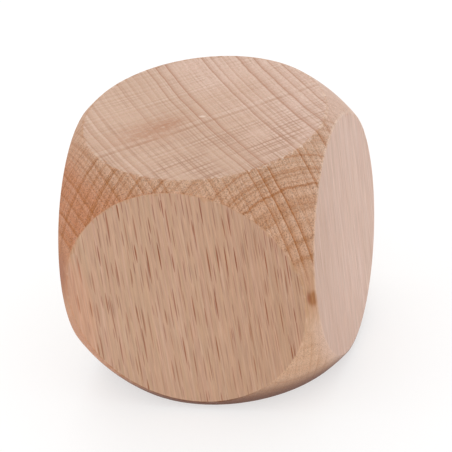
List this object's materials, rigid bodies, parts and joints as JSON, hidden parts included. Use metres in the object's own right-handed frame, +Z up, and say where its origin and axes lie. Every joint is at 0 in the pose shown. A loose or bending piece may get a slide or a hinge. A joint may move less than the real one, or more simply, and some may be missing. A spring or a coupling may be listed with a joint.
{
  "type": "blank wooden die",
  "caption": "Solid beech cube with round flats and ball-turned corners and edges; a blank die with no spots, to roll, mark or paint.",
  "frame": {"origin": "middle of the flat that the die rests on", "axes": "+Z up along the wood's grain through the two end-grain flats; -Y out of the front flat; +X out of the right flat"},
  "size_m": [0.03, 0.03, 0.03],
  "materials": {
    "beech": "matte"
  },
  "bodies": {
    "root": {"die_block": "beech"}
  },
  "joints": []
}
